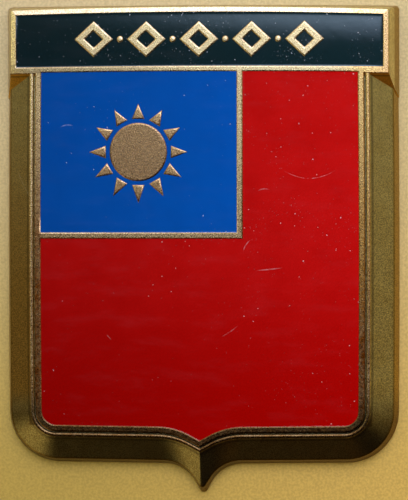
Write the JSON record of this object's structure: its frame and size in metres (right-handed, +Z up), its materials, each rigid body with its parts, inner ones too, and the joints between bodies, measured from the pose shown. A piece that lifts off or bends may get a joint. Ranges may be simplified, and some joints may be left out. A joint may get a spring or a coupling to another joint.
{
  "type": "enamelled car emblem",
  "caption": "Shield-shaped struck brass emblem with enamel cells, a raised banner bar, a hollow back, threaded studs and a clamp strap.",
  "frame": {"origin": "middle of the two fixing studs, in the plane of the back rim", "axes": "face towards -Y, studs along +Y, +X to the viewer's right, +Z up along the emblem's height"},
  "size_m": [0.0662, 0.0231, 0.0814],
  "materials": {
    "brass": "worn polished brass with brown tarnish",
    "black_enamel": "gloss vitreous enamel, fine scratches",
    "blue_enamel": "gloss vitreous enamel, fine scratches",
    "red_enamel": "gloss vitreous enamel, fine scratches",
    "stud_brass": "turned brass",
    "solder": "dull soft solder",
    "zinc_steel": "zinc-plated strip, dulled",
    "spring_steel": "darkened spring steel",
    "pad_rubber": "matt black rubber"
  },
  "bodies": {
    "badge": {"struck_body": "brass", "banner_enamel": "black_enamel", "canton_enamel": "blue_enamel", "field_enamel": "red_enamel", "upper_stud": "stud_brass", "lower_stud": "stud_brass", "upper_solder": "solder", "lower_solder": "solder"},
    "clamp": {"clamp_bar": "zinc_steel", "upper_pad": "pad_rubber", "lower_pad": "pad_rubber"},
    "upper_washers": {"upper_flat_washer": "zinc_steel", "upper_spring_washer": "spring_steel"},
    "lower_washers": {"lower_flat_washer": "zinc_steel", "lower_spring_washer": "spring_steel"},
    "upper_hex_nut": {"upper_nut": "stud_brass"},
    "lower_hex_nut": {"lower_nut": "stud_brass"}
  },
  "joints": [
    {"name": "clamp_slide", "type": "slide", "parent": "badge", "child": "clamp", "axis": [0, 1, 0], "range_m": [-0.0058, 0]},
    {"name": "upper_washer_slide", "type": "slide", "parent": "badge", "child": "upper_washers", "axis": [0, 1, 0], "range_m": [0, 0.00332]},
    {"name": "lower_washer_slide", "type": "slide", "parent": "badge", "child": "lower_washers", "axis": [0, 1, 0], "range_m": [0, 0.00332]},
    {"name": "upper_nut_spin", "type": "hinge", "parent": "upper_washers", "child": "upper_hex_nut", "pos_m": [0, 0.0124, 0.0225], "axis": [0, 1, 0], "range_deg": [0, 1712]},
    {"name": "lower_nut_spin", "type": "hinge", "parent": "lower_washers", "child": "lower_hex_nut", "pos_m": [0, 0.0124, -0.0225], "axis": [0, 1, 0], "range_deg": [0, 1712]}
  ],
  "couplings": [
    {"joint": "upper_nut_spin", "follows": "upper_washer_slide", "rad_per_m": 8976},
    {"joint": "lower_nut_spin", "follows": "lower_washer_slide", "rad_per_m": 8976}
  ]
}
